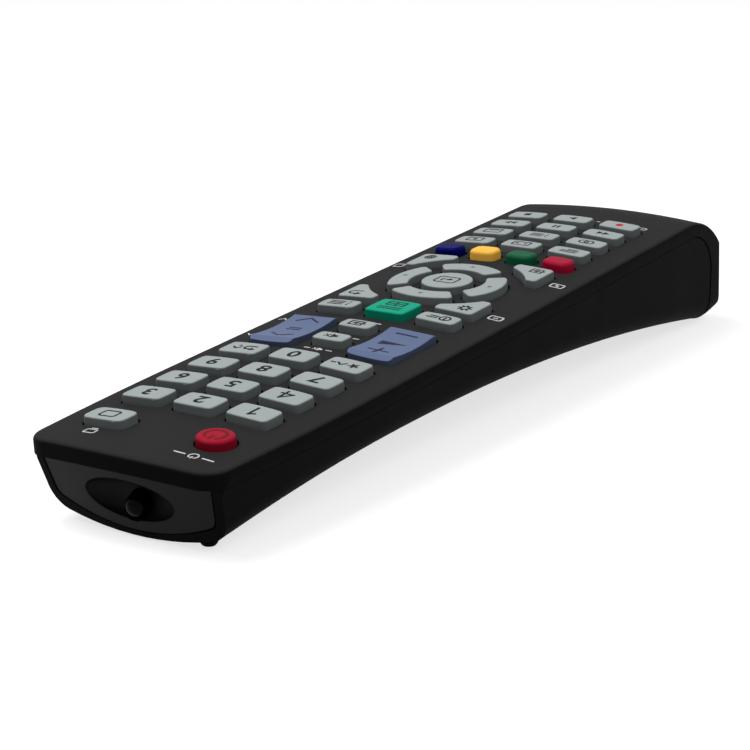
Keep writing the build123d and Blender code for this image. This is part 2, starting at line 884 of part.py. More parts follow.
# Infrared lamp with its two leads, which turn up to the board
lamp_back_y = lamp_dome_y - lamp_length
lead_y = lamp_back_y - lead_back
with BuildPart() as ir_lamp:
    with BuildSketch(across(lamp_dome_y, -lamp_depth_z)):
        Circle(lamp_radius)
    extrude(amount=lamp_length)
    with BuildSketch(across(lamp_back_y + lamp_rim_length, -lamp_depth_z)):
        Circle(lamp_radius + lamp_rim)
    extrude(amount=lamp_rim_length)
    with BuildSketch(face.offset(-lamp_depth_z)):
        with Locations((0, lamp_dome_y)):
            Circle(lamp_radius)
            Rectangle(
                2 * lamp_radius, lamp_radius, align=(Align.CENTER, Align.MAX), mode=Mode.SUBTRACT
            )
    dome_axis = Axis(
        origin=face.from_local_coords((0, lamp_dome_y, -lamp_depth_z)), direction=face.x_dir
    )
    revolve(axis=dome_axis)
    with BuildSketch(across(lamp_back_y, -lamp_depth_z)):
        with GridLocations(lead_pitch, 0, 2, 1):
            Rectangle(lead_size, lead_size)
    extrude(amount=lead_back + lead_size / 2)
    with BuildSketch(face.offset(-lamp_depth_z - lead_size / 2)):
        with Locations((-lead_pitch / 2, lead_y), (lead_pitch / 2, lead_y)):
            Rectangle(lead_size, lead_size)
    extrude(amount=lamp_depth_z + lead_size / 2 - board_bottom + lead_stub)
ir_lamp.part.label = "ir_lamp"
export_step(ir_lamp.part, "parts/ir_lamp.step")

# Keypad mat, with a hole round each pill stem, lying on the circuit board
with BuildPart() as keypad_mat:
    with BuildSketch(face.offset(-board_top)):
        with Locations((0, mat_back_y)):
            Rectangle(mat_width, mat_front_y - mat_back_y, align=(Align.CENTER, Align.MIN))
    extrude(amount=mat_thick)
    fillet(keypad_mat.edges().filter_by(face_up), board_corner)
    with BuildSketch(face.offset(-board_top)):
        with Locations(*pill_spots):
            Circle(pill_radius + mat_hole_clearance)
    extrude(amount=mat_thick, mode=Mode.SUBTRACT)
keypad_mat.part.label = "keypad_mat"
export_step(keypad_mat.part, "parts/keypad_mat.step")

capacitor_lead_spots = [
    (capacitor_spot[0] - lead_pitch / 2, capacitor_spot[1]),
    (capacitor_spot[0] + lead_pitch / 2, capacitor_spot[1]),
]
with BuildPart() as circuit_board:
    with BuildSketch(face.offset(-board_bottom)):
        with Locations((0, mat_back_y - board_overhang)):
            Rectangle(
                mat_width + 2 * board_overhang,
                mat_front_y - mat_back_y + 2 * board_overhang,
                align=(Align.CENTER, Align.MIN),
            )
    extrude(amount=board_thick)
    fillet(circuit_board.edges().filter_by(face_up), board_corner)
    with BuildSketch(face.offset(-board_bottom)):
        with Locations((-lead_pitch / 2, lead_y), (lead_pitch / 2, lead_y), *capacitor_lead_spots):
            Circle(lead_hole / 2)
    extrude(amount=board_thick, mode=Mode.SUBTRACT)
circuit_board.part.label = "circuit_board"
export_step(circuit_board.part, "parts/circuit_board.step")

# Control chip and smoothing capacitor, hanging from the board
with BuildPart() as control_chip:
    body_drop = chip_leg_size[2] - chip_leg_size[1]
    with BuildSketch(face.offset(-board_bottom - body_drop)):
        with Locations((0, chip_y)):
            Rectangle(chip_size[0], chip_size[1])
    extrude(amount=-chip_size[2])
    with BuildSketch(face.offset(-board_bottom - chip_leg_size[2])):
        with Locations((0, chip_y)):
            with GridLocations(chip_size[0] + chip_leg_size[0] / 2, chip_leg_pitch, 2, chip_leg_count):
                Rectangle(chip_leg_size[0] / 2, chip_leg_size[1])
    extrude(amount=chip_leg_size[1])
    with BuildSketch(face.offset(-board_bottom - chip_leg_size[2])):
        with Locations((0, chip_y)):
            with GridLocations(
                chip_size[0] + 3 * chip_leg_size[0] / 2, chip_leg_pitch, 2, chip_leg_count
            ):
                Rectangle(chip_leg_size[0] / 2, chip_leg_size[1])
    extrude(amount=chip_leg_size[2])
control_chip.part.label = "control_chip"
export_step(control_chip.part, "parts/control_chip.step")

with BuildPart() as smoothing_capacitor:
    with BuildSketch(across(capacitor_spot[1], -board_bottom)):
        with BuildLine():
            Polyline(
                (capacitor_spot[0], 0),
                (capacitor_spot[0] + capacitor_radius, 0),
                (capacitor_spot[0] + capacitor_radius, -capacitor_groove),
                (capacitor_spot[0] + capacitor_radius - capacitor_groove, -3 * capacitor_groove),
                (capacitor_spot[0] + capacitor_radius, -5 * capacitor_groove),
                (capacitor_spot[0] + capacitor_radius, -capacitor_height),
                (capacitor_spot[0], -capacitor_height),
                close=True,
            )
        make_face()
    can_axis = Axis(
        origin=face.from_local_coords((capacitor_spot[0], capacitor_spot[1], 0)),
        direction=face.z_dir,
    )
    revolve(axis=can_axis)
    with BuildSketch(face.offset(-board_bottom)):
        with Locations(*capacitor_lead_spots):
            Circle(lead_size / 2)
    extrude(amount=board_thick - lead_stub)
smoothing_capacitor.part.label = "smoothing_capacitor"
export_step(smoothing_capacitor.part, "parts/smoothing_capacitor.step")

# Two cells, head to tail, each pushed by a spring onto a flat contact
contact_reach = bay_length / 2 - terminal_thick - terminal_gap
cells = {"battery_left": (-1, 1), "battery_right": (1, -1)}


def bay_cross(y):
    return Plane(
        origin=bay.from_local_coords((0, y, 0)), x_dir=bay.x_dir, z_dir=bay.y_dir
    )


for name, (side, heading) in cells.items():
    nub_y = heading * contact_reach
    with BuildPart() as cell:
        with BuildSketch(bay_cross(nub_y)):
            with Locations((side * cell_pitch / 2, 0)):
                Circle(cell_nub_radius)
        extrude(amount=-heading * cell_nub_length)
        with BuildSketch(bay_cross(nub_y - heading * cell_nub_length)):
            with Locations((side * cell_pitch / 2, 0)):
                Circle(cell_diameter / 2)
        extrude(amount=-heading * (cell_length - cell_nub_length))
        rims = cell.edges().filter_by(
            lambda edge: edge.geom_type == GeomType.CIRCLE and edge.radius > cell_nub_radius + 1
        )
        fillet(rims, cell_edge_round)
    cell.part.label = name
    export_step(cell.part, f"parts/{name}.step")


def contact_plate(side, end, width):
    # Flat plate against the end wall of the bay
    with BuildPart() as plate:
        with BuildSketch(bay_cross(end * bay_length / 2)):
            with Locations((side, 0)):
                Rectangle(width, terminal_size[1])
        extrude(amount=-end * terminal_thick)
    return plate.part


spring_length = bay_length - 2 * terminal_thick - 2 * terminal_gap - cell_length - spring_wire


def cell_spring(side, end):
    # Conical coil from the plate to the cell's flat end
    start_y = end * (bay_length / 2 - terminal_thick)
    foot = Plane(
        origin=bay.from_local_coords((side * cell_pitch / 2, start_y, 0)),
        x_dir=bay.x_dir,
        z_dir=-end * bay.y_dir,
    )
    steps = round(spring_turns * spring_steps)
    points = []
    for step in range(steps + 1):
        share = step / steps
        turn = 2 * pi * spring_turns * share
        radius = spring_radius + (spring_tip_radius - spring_radius) * share
        height = spring_wire / 4 + spring_length * share
        points.append(foot.from_local_coords((radius * cos(turn), radius * sin(turn), height)))
    with BuildPart() as spring:
        with BuildLine() as coil:
            Spline(*points)
        with BuildSketch(Plane(origin=coil.line @ 0, z_dir=coil.line % 0)):
            Circle(spring_wire / 2)
        sweep(path=coil.line)
    return spring.part


left_plate = contact_plate(-cell_pitch / 2, 1, terminal_size[0])
with BuildPart() as positive_terminal:
    add(left_plate)
positive_terminal.part.label = "positive_terminal"
export_step(positive_terminal.part, "parts/positive_terminal.step")

right_plate = contact_plate(cell_pitch / 2, 1, terminal_size[0])
right_spring = cell_spring(1, 1)
with BuildPart() as negative_terminal:
    add(right_plate)
    add(right_spring)
negative_terminal.part.label = "negative_terminal"
export_step(negative_terminal.part, "parts/negative_terminal.step")

bridge_plate = contact_plate(0, -1, cell_pitch + terminal_size[0])
bridge_spring = cell_spring(-1, -1)
with BuildPart() as bridge_terminal:
    add(bridge_plate)
    add(bridge_spring)
bridge_terminal.part.label = "bridge_terminal"
export_step(bridge_terminal.part, "parts/bridge_terminal.step")
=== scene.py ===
import json
import math

import bmesh
import bpy
from mathutils import Euler, Matrix, Vector


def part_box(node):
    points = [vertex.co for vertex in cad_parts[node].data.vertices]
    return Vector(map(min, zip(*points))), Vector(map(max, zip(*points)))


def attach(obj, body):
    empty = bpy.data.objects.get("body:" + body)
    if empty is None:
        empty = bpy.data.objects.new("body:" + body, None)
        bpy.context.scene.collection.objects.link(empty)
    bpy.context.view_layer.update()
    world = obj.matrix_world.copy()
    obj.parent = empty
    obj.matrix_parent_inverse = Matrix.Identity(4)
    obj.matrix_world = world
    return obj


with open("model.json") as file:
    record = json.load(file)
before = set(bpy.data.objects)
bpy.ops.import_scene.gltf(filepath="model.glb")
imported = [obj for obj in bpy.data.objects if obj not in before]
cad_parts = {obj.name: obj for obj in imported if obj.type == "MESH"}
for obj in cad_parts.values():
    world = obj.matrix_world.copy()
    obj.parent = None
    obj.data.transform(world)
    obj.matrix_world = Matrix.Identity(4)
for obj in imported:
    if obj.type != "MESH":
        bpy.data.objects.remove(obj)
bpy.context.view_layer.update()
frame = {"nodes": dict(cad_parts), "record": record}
nodes = frame["nodes"]
record = frame["record"]
scene = bpy.context.scene
mm = 0.001

# The key face's own frame, from the joints: keys press against its normal
rockerSpot = (13.0, 43.3)
pivotSpot = (-rockerSpot[0], rockerSpot[1], -1.0)
joints = {joint["name"]: joint for joint in record["behaviour"]["joints"]}
faceNormal = -Vector(joints["key_1_press"]["axis"]).normalized()
faceAlong = faceNormal.cross(Vector((1, 0, 0)))
faceTurn = Matrix((Vector((1, 0, 0)), faceAlong, faceNormal)).transposed()
faceOrigin = Vector(joints["key_volume_tip"]["pos_m"]) - faceTurn @ (Vector(pivotSpot) * mm)
faceMatrix = Matrix.Translation(faceOrigin) @ faceTurn.to_4x4()


def onFace(x, y, z):
    return faceMatrix @ (Vector((x, y, z)) * mm)


crownRadius = 245.0
keyHeight = 1.85


def crownZ(x, y):
    # Height of the face shell, an arc across that runs straight along
    return math.sqrt(crownRadius**2 - x**2) - crownRadius


def keyZ(x, y):
    # Height of the key tops
    return math.sqrt((crownRadius + keyHeight) ** 2 - x**2) - crownRadius


# Materials


def setInputs(node, **values):
    for name, value in values.items():
        node.inputs[name.replace("_", " ")].default_value = value


def feed(tree, socket, source):
    # A source is another node's output or a plain value
    if isinstance(source, bpy.types.NodeSocket):
        tree.links.new(source, socket)
    else:
        socket.default_value = source


def mathOf(tree, operation, *sources, clamp=False):
    node = tree.nodes.new("ShaderNodeMath")
    node.operation = operation
    node.use_clamp = clamp
    for number, source in enumerate(sources):
        feed(tree, node.inputs[number], source)
    return node.outputs[0]


def blendOf(tree, factor, low, high):
    # Colour from low to high
    node = tree.nodes.new("ShaderNodeMix")
    node.data_type = "RGBA"
    for name, source in (("Factor", factor), ("A", low), ("B", high)):
        feed(tree, node.inputs[name], source)
    return node.outputs["Result"]


def facingOf(tree, direction):
    # How squarely the surface faces a direction: 1 is head on
    place = tree.nodes.new("ShaderNodeTexCoord")
    facing = tree.nodes.new("ShaderNodeVectorMath")
    facing.operation = "DOT_PRODUCT"
    facing.inputs[1].default_value = direction
    tree.links.new(place.outputs["Normal"], facing.inputs[0])
    return facing.outputs["Value"]


def makeGrainAndShadeGroup():
    # Moulded grain and slow mottling that every surface shares, and painted shade: a darker colour on what
    # faces aside from the key face, standing in for the light that falls less there
    group = bpy.data.node_groups.new("MouldedGrainAndPaintedShade", "ShaderNodeTree")
    addSocket = group.interface.new_socket
    for name, start in (("Grain Size", 0.3), ("Grain Depth", 0.1), ("Mottle", 0.1), ("Gloss", 0.5)):
        addSocket(name, in_out="INPUT", socket_type="NodeSocketFloat").default_value = start
    for name in ("Colour", "Side Colour"):
        addSocket(name, in_out="INPUT", socket_type="NodeSocketColor").default_value = (0.5, 0.5, 0.5, 1)
    for name, kind in (("Colour", "Color"), ("Roughness", "Float"), ("Normal", "Vector")):
        addSocket(name, in_out="OUTPUT", socket_type=f"NodeSocket{kind}")
    make = group.nodes.new
    link = group.links.new
    enter = make("NodeGroupInput")
    leave = make("NodeGroupOutput")
    place = make("ShaderNodeTexCoord")
    grain = make("ShaderNodeTexNoise")
    setInputs(grain, Detail=3.0, Roughness=0.6)
    link(place.outputs["Object"], grain.inputs["Vector"])
    link(mathOf(group, "DIVIDE", 1 / mm, enter.outputs["Grain Size"]), grain.inputs["Scale"])
    bump = make("ShaderNodeBump")
    setInputs(bump, Distance=0.00003)
    link(enter.outputs["Grain Depth"], bump.inputs["Strength"])
    link(grain.outputs["Fac"], bump.inputs["Height"])
    patches = make("ShaderNodeTexNoise")
    setInputs(patches, Scale=90.0, Detail=4.0, Roughness=0.55)
    link(place.outputs["Object"], patches.inputs["Vector"])
    centred = mathOf(group, "SUBTRACT", patches.outputs["Fac"], 0.5)
    mottle = mathOf(group, "MULTIPLY", centred, enter.outputs["Mottle"])
    # Painted shade: surfaces turned aside from the key face blend to the darker side colour
    upward = make("ShaderNodeMapRange")
    upward.interpolation_type = "SMOOTHSTEP"
    setInputs(upward, From_Min=0.35, From_Max=0.9)
    link(facingOf(group, faceNormal), upward.inputs["Value"])
    shade = make("ShaderNodeVectorMath")
    shade.operation = "SCALE"
    tone = blendOf(group, upward.outputs[0], enter.outputs["Side Colour"], enter.outputs["Colour"])
    link(tone, shade.inputs[0])
    link(mathOf(group, "ADD", mottle, 1.0), shade.inputs["Scale"])
    link(shade.outputs[0], leave.inputs["Colour"])
    link(mathOf(group, "ADD", mottle, enter.outputs["Gloss"], clamp=True), leave.inputs["Roughness"])
    link(bump.outputs["Normal"], leave.inputs["Normal"])
    return group


grainAndShadeGroup = makeGrainAndShadeGroup()


def makeMaterial(name, colour, gloss, grain=(0.25, 0.35), mottle=0.12, side=0.85, specular=0.5, metallic=0.0):
    # grain is its size in millimetres and its depth; side is the share of the colour on what faces aside,
    # painted shade for the light that falls less there
    material = bpy.data.materials.new(name)
    material.use_nodes = True
    tree = material.node_tree
    surface = tree.nodes.new("ShaderNodeGroup")
    surface.node_tree = grainAndShadeGroup
    setInputs(surface, Grain_Size=grain[0], Grain_Depth=grain[1], Mottle=mottle, Gloss=gloss)
    setInputs(surface, Colour=(*colour, 1), Side_Colour=(*(side * part for part in colour), 1))
    principled = tree.nodes["Principled BSDF"]
    setInputs(principled, Specular_IOR_Level=specular, Metallic=metallic)
    for source, target in (("Colour", "Base Color"), ("Roughness", "Roughness"), ("Normal", "Normal")):
        tree.links.new(surface.outputs[source], principled.inputs[target])
    return material


def grainAndShadeColour(tree):
    # The colour that the material's grain group puts out, its painted shade on what faces aside included
    return next(node for node in tree.nodes if node.type == "GROUP").outputs["Colour"]


def paintRecessShade(material, recess):
    # Painted shade: the scooped recess of the nose window is painted deep black inside its oval, for the
    # shade that falls in it
    tree = material.node_tree
    place = tree.nodes.new("ShaderNodeTexCoord")
    oval = tree.nodes.new("ShaderNodeMapping")
    oval.vector_type = "TEXTURE"
    halfSizes = [size * mm for size in recess["halfSizes"]]
    setInputs(oval, Location=onFace(*recess["middle"]), Rotation=faceTurn.to_euler(), Scale=halfSizes)
    tree.links.new(place.outputs["Object"], oval.inputs["Vector"])
    reach = tree.nodes.new("ShaderNodeVectorMath")
    reach.operation = "LENGTH"
    tree.links.new(oval.outputs["Vector"], reach.inputs[0])
    edge = tree.nodes.new("ShaderNodeMapRange")
    setInputs(edge, From_Min=0.96, From_Max=1.04)
    tree.links.new(reach.outputs["Value"], edge.inputs["Value"])
    colour = blendOf(tree, edge.outputs["Result"], (*recess["colour"], 1), grainAndShadeColour(tree))
    tree.links.new(colour, tree.nodes["Principled BSDF"].inputs["Base Color"])


def bandCells(material, cell):
    # Dark sleeve with a copper-coloured band toward each cell's nub, and bare steel ends
    tree = material.node_tree
    place = tree.nodes.new("ShaderNodeTexCoord")
    parts = tree.nodes.new("ShaderNodeSeparateXYZ")
    tree.links.new(place.outputs["Object"], parts.inputs[0])
    side = mathOf(tree, "SIGN", parts.outputs["X"])
    fromMiddle = mathOf(tree, "SUBTRACT", cell["middleY"], parts.outputs["Y"])
    towardNub = mathOf(tree, "MULTIPLY", side, fromMiddle)
    band = mathOf(tree, "GREATER_THAN", towardNub, cell["bandStart"])
    sleeve = blendOf(tree, band, grainAndShadeColour(tree), (*cell["bandColour"], 1))
    endOn = mathOf(tree, "ABSOLUTE", facingOf(tree, (0, 1, 0)))
    steel = mathOf(tree, "GREATER_THAN", endOn, cell["endFacing"])
    colour = blendOf(tree, steel, sleeve, (*cell["steelColour"], 1))
    principled = tree.nodes["Principled BSDF"]
    tree.links.new(colour, principled.inputs["Base Color"])
    tree.links.new(steel, principled.inputs["Metallic"])


keyGrain = (0.2, 0.25)
softGrain = (0.2, 0.2)
# The side shares paint shade on what faces aside; the housing's 0.2 paints its sides and underside near black
materials = {
    "housing": makeMaterial(
        "HousingPlastic", (0.02, 0.02, 0.0202), 0.66, (0.22, 0.6), side=0.2, specular=0.02
    ),
    "window": makeMaterial("WindowPlastic", (0.007, 0.0072, 0.007), 0.45, (0.22, 0.3), specular=0.07),
    "key_grey": makeMaterial("KeyGrey", (0.29, 0.32, 0.32), 0.62, (0.2, 0.4), side=0.34, specular=0.1),
    "power_red": makeMaterial("PowerRed", (0.29, 0.004, 0.02), 0.55, keyGrain, side=0.6, specular=0.05),
    "menu_green": makeMaterial("MenuGreen", (0.004, 0.29, 0.175), 0.55, keyGrain, side=0.55, specular=0.04),
    "rocker_blue": makeMaterial("RockerBlue", (0.085, 0.115, 0.21), 0.55, keyGrain, side=0.5, specular=0.15),
    "red": makeMaterial("ColourRed", (0.3, 0.003, 0.025), 0.5, softGrain, specular=0.05),
    "green": makeMaterial("ColourGreen", (0.003, 0.08, 0.033), 0.5, softGrain, specular=0.05),
    "yellow": makeMaterial("ColourYellow", (0.85, 0.45, 0.06), 0.5, softGrain, specular=0.08),
    "blue": makeMaterial("ColourBlue", (0.001, 0.001, 0.085), 0.5, softGrain, specular=0.025),
    "lamp": makeMaterial("LampResin", (0.002, 0.0018, 0.0022), 0.1, (0.5, 0.03), specular=0.035),
    "mat": makeMaterial("MatSilicone", (0.4, 0.42, 0.42), 0.6),
    "board": makeMaterial("BoardMask", (0.01, 0.11, 0.04), 0.35, (0.6, 0.3), mottle=0.3),
    "chip": makeMaterial("ChipResin", (0.012, 0.012, 0.013), 0.55),
    "capacitor": makeMaterial("CapacitorSleeve", (0.01, 0.015, 0.06), 0.3),
    "contact": makeMaterial("ContactNickel", (0.6, 0.57, 0.52), 0.3, (0.4, 0.2), mottle=0.15, metallic=1.0),
    "cell": makeMaterial("CellSleeve", (0.07, 0.075, 0.08), 0.3),
}
inkFinishes = {
    "KeyInk": ((0.007, 0.0075, 0.009), 0.6),
    "RockerInk": ((0.012, 0.014, 0.045), 0.5),
    "PowerInk": ((0.13, 0.004, 0.008), 0.5),
    "MenuInk": ((0.001, 0.016, 0.014), 0.5),
    "RecordInk": ((0.42, 0.008, 0.012), 0.5),
    "WhiteInk": ((0.55, 0.56, 0.56), 0.55),
    "ArcInk": ((0.11, 0.12, 0.125), 0.5),
}
for name, (colour, gloss) in inkFinishes.items():
    materials[name] = makeMaterial(name, colour, gloss, softGrain, specular=0.05)
# Painted shade, near black, inside the oval of the nose window's recess
paintRecessShade(
    materials["window"],
    {"middle": (0, 117.5, -11.2), "halfSizes": (11.5, 40, 4.85), "colour": (0.0012, 0.0012, 0.0013)},
)
bandCells(
    materials["cell"],
    {
        "middleY": (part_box("battery_left")[0][1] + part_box("battery_right")[1][1]) / 2,
        "bandStart": 0.009,
        "bandColour": (0.42, 0.2, 0.08),
        "endFacing": 0.6,
        "steelColour": (0.55, 0.55, 0.56),
    },
)
print("materials", len(materials))

# CAD nodes keep their own shape and get a finish and smooth shading up to a sharp angle
slots = {entry["node"]: entry["material_slot"] for entry in record["subparts"]}
sharpAngles = {"rocker_blue": math.radians(16)}
usualAngle = math.radians(28)
for name, slot in slots.items():
    mesh = nodes[name].data
    mesh.materials.clear()
    mesh.materials.append(materials[slot])
    mesh.polygons.foreach_set("use_smooth", [True] * len(mesh.polygons))
    mesh.set_sharp_from_angle(angle=sharpAngles.get(slot, usualAngle))
print("nodes", len(nodes))

# Flat shapes for the prints, in millimetres about the middle of their key: lists of rings of points


def bar(x, y, width, height):
    corners = ((-1, -1), (1, -1), (1, 1), (-1, 1))
    return [(x + sx * width / 2, y + sy * height / 2) for sx, sy in corners]


def disc(x, y, radius, steps=28):
    turns = [2 * math.pi * n / steps for n in range(steps)]
    return [(x + radius * math.cos(t), y + radius * math.sin(t)) for t in turns]


def arrowHead(x, y, size, turn):
    # Triangle whose tip points at the angle turn, in degrees from +x
    points = ((0.6, 0), (-0.4, 0.6), (-0.4, -0.6))
    c = math.cos(math.radians(turn))
    s = math.sin(math.radians(turn))
    return [(x + size * (px * c - py * s), y + size * (px * s + py * c)) for px, py in points]


def stroke(points, width, closed=False):
    # Line of even width along points, as one quad for each piece
    quads = []
    pairs = list(zip(points, points[1:] + points[:1])) if closed else list(zip(points, points[1:]))
    for (x0, y0), (x1, y1) in pairs:
        length = math.hypot(x1 - x0, y1 - y0)
        ux = (x1 - x0) / length * width / 2
        uy = (y1 - y0) / length * width / 2
        quads.append(
            [
                (x0 - ux - uy, y0 - uy + ux),
                (x0 - ux + uy, y0 - uy - ux),
                (x1 + ux + uy, y1 + uy - ux),
                (x1 + ux - uy, y1 + uy + ux),
            ]
        )
    return quads


def arc(x, y, radius, start, end, width, steps=20):
    points = []
    for n in range(steps + 1):
        t = math.radians(start + (end - start) * n / steps)
        points.append((x + radius * math.cos(t), y + radius * math.sin(t)))
    return stroke(points, width)


def roundedBox(x, y, width, height, corner, line, steps=4):
    points = []
    for sx, sy, start in ((1, 1, 0), (-1, 1, 90), (-1, -1, 180), (1, -1, 270)):
        middleX = x + sx * (width / 2 - corner)
        middleY = y + sy * (height / 2 - corner)
        for n in range(steps + 1):
            t = math.radians(start + 90 * n / steps)
            points.append((middleX + corner * math.cos(t), middleY + corner * math.sin(t)))
    return stroke(points, line, closed=True)


def digit(text, look):
    # One figure about its own middle, as the faces of a filled text
    curve = bpy.data.curves.new("digit", "FONT")
    curve.body = text
    curve.resolution_u = 6
    curve.offset = look["boldness"]
    holder = bpy.data.objects.new("digit", curve)
    scene.collection.objects.link(holder)
    bpy.context.view_layer.update()
    mesh = bpy.data.meshes.new_from_object(holder.evaluated_get(bpy.context.evaluated_depsgraph_get()))
    bpy.data.objects.remove(holder)
    xs = [v.co.x for v in mesh.vertices]
    ys = [v.co.y for v in mesh.vertices]
    grow = look["height"] / (max(ys) - min(ys))
    midX = (max(xs) + min(xs)) / 2
    midY = (max(ys) + min(ys)) / 2
    rings = []
    for face in mesh.polygons:
        corners = [mesh.vertices[i].co for i in face.vertices]
        rings.append([((p.x - midX) * grow * look["stretch"], (p.y - midY) * grow) for p in corners])
    bpy.data.meshes.remove(mesh)
    return rings


def crossedSpeaker(x, y, size):
    horn = ((-0.4, -0.25), (0.05, -0.6), (0.05, 0.6), (-0.4, 0.25))
    rings = [bar(x - 0.55 * size, y, 0.35 * size, 0.5 * size)]
    rings.append([(x + px * size, y + py * size) for px, py in horn])
    for rise in (0.3 * size, -0.3 * size):
        rings += stroke([(x + 0.25 * size, y - rise), (x + 0.8 * size, y + rise)], 0.14 * size)
    return rings


def arrowIntoBox(x, y, width, height, line):
    w = width / 2
    h = height / 2
    outline = ((-w, 0.45 * h), (-w, h), (w, h), (w, -h), (-w, -h), (-w, -0.45 * h))
    rings = stroke([(x + px, y + py) for px, py in outline], line)
    rings += stroke([(x - 1.35 * w, y), (x, y)], line)
    rings.append(arrowHead(x + 0.15 * w, y, 1.1 * h, 0))
    return rings


def powerMark(x, y, radius, line):
    rings = arc(x, y, radius, 125, 415, line)
    rings.append(bar(x, y + 0.75 * radius, line, 0.95 * radius))
    return rings


def star(x, y, radius):
    points = []
    for n in range(10):
        r = radius if n % 2 == 0 else 0.42 * radius
        t = math.radians(90 + 36 * n)
        points.append((x + r * math.cos(t), y + r * math.sin(t)))
    return [[(x, y), points[n], points[(n + 1) % 10]] for n in range(10)]


def chevron(x, y, half, rise, line):
    return stroke([(x - half, y - rise / 2), (x, y + rise / 2), (x + half, y - rise / 2)], line)


def listMark(x, y, width, gap, line, rows=3):
    rings = []
    for n in range(rows):
        level = y + (n - (rows - 1) / 2) * gap
        rings.append(disc(x - width / 2, level, line * 0.62, 12))
        rings.append(bar(x + 0.15 * width, level, 0.8 * width, line))
    return rings


def returnArrow(x, y, size, line):
    bend = x + 0.2 * size
    half = 0.5 * size
    rings = arc(bend, y, half, -90, 90, line)
    rings += stroke([(bend, y + half), (x - half, y + half)], line)
    rings += stroke([(bend, y - half), (x - 0.7 * size, y - half)], line)
    rings.append(arrowHead(x - 0.6 * size, y + half, 0.75 * size, 180))
    return rings


def gear(x, y, radius, line):
    rings = arc(x, y, 0.62 * radius, 0, 360, line, 24)
    for n in range(8):
        t = math.radians(45 * n)
        inner = (x + 0.7 * radius * math.cos(t), y + 0.7 * radius * math.sin(t))
        outer = (x + radius * math.cos(t), y + radius * math.sin(t))
        rings += stroke([inner, outer], 1.3 * line)
    return rings


def globe(x, y, radius, line):
    rings = arc(x, y, radius, 0, 360, line, 28)
    rings += stroke([(x - radius, y), (x + radius, y)], line)
    rings += stroke([(x, y - radius), (x, y + radius)], line)
    rings += arc(x - 0.75 * radius, y, 1.25 * radius, -53, 53, line, 12)
    rings += arc(x + 0.75 * radius, y, 1.25 * radius, 127, 233, line, 12)
    return rings


def infoMark(x, y, radius, line):
    rings = arc(x, y, radius, 0, 360, line, 28)
    rings.append(bar(x, y - 0.2 * radius, 1.2 * line, 0.75 * radius))
    rings.append(disc(x, y + 0.5 * radius, 0.75 * line, 12))
    return rings


def gridMark(x, y, width, height, line):
    rings = roundedBox(x, y, width, height, 0.25, line)
    rings.append(bar(x, y, line, height))
    rings.append(bar(x, y, width, line))
    return rings


def buildPrint(name, rings, surface, spot, body, ink, lift=0.035, sink=0.06):
    # Thin raised ink, draped on a surface of the part
    mesh = bpy.data.meshes.new(name)
    work = bmesh.new()
    for ring in rings:
        corners = [work.verts.new((spot[0] + x, spot[1] + y, 0)) for x, y in ring]
        face = work.faces.new(corners)
        face.normal_update()
        if face.normal.z < 0:
            face.normal_flip()
    solid = bmesh.ops.extrude_face_region(work, geom=list(work.faces))
    upper = {v for v in solid["geom"] if isinstance(v, bmesh.types.BMVert)}
    for vertex in work.verts:
        x, y = vertex.co.x, vertex.co.y
        height = surface(x, y) + (lift if vertex in upper else -sink)
        vertex.co = onFace(x, y, height)
    bmesh.ops.recalc_face_normals(work, faces=work.faces)
    work.to_mesh(mesh)
    work.free()
    mesh.materials.append(materials[ink])
    piece = bpy.data.objects.new(name, mesh)
    scene.collection.objects.link(piece)
    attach(piece, body)


# Places of the keys on the face, in millimetres from the middle of the ring
columnPitch = 13.35
keySpots = {
    "key_power": (-14.4, 106.8),
    "key_tv": (11.7, 107.1),
    "key_mute": (0, 47.2),
    "key_source": (0, 37.2),
    "key_info": (-columnPitch, 25.0),
    "key_guide": (columnPitch, 25.0),
    "key_menu": (0, 23.0),
    "key_ok": (0, 0),
    "key_up": (0, 11.7),
    "key_down": (0, -11.7),
    "key_left": (-11.7, 0),
    "key_right": (11.7, 0),
    "key_tools": (-14.9, 16.3),
    "key_return": (14.9, 16.3),
    "key_exit": (-14.9, -16.3),
    "key_web": (14.9, -16.3),
}
numberBlock = {
    "start": 93.1,
    "pitch": 10.65,
    "rows": (
        ("key_1", "key_2", "key_3"),
        ("key_4", "key_5", "key_6"),
        ("key_7", "key_8", "key_9"),
        ("key_favourite", "key_0", "key_previous_channel"),
    ),
}
lowerBlock = {
    "start": -34.8,
    "pitch": 8.82,
    "rows": (
        ("key_text", "key_size", "key_picture"),
        ("key_dual", "key_description", "key_subtitle"),
        ("key_rewind", "key_pause", "key_forward"),
        ("key_record", "key_play", "key_stop"),
    ),
}
for block in (numberBlock, lowerBlock):
    for row, names in enumerate(block["rows"]):
        for column, name in enumerate(names):
            keySpots[name] = ((column - 1) * columnPitch, block["start"] - row * block["pitch"])

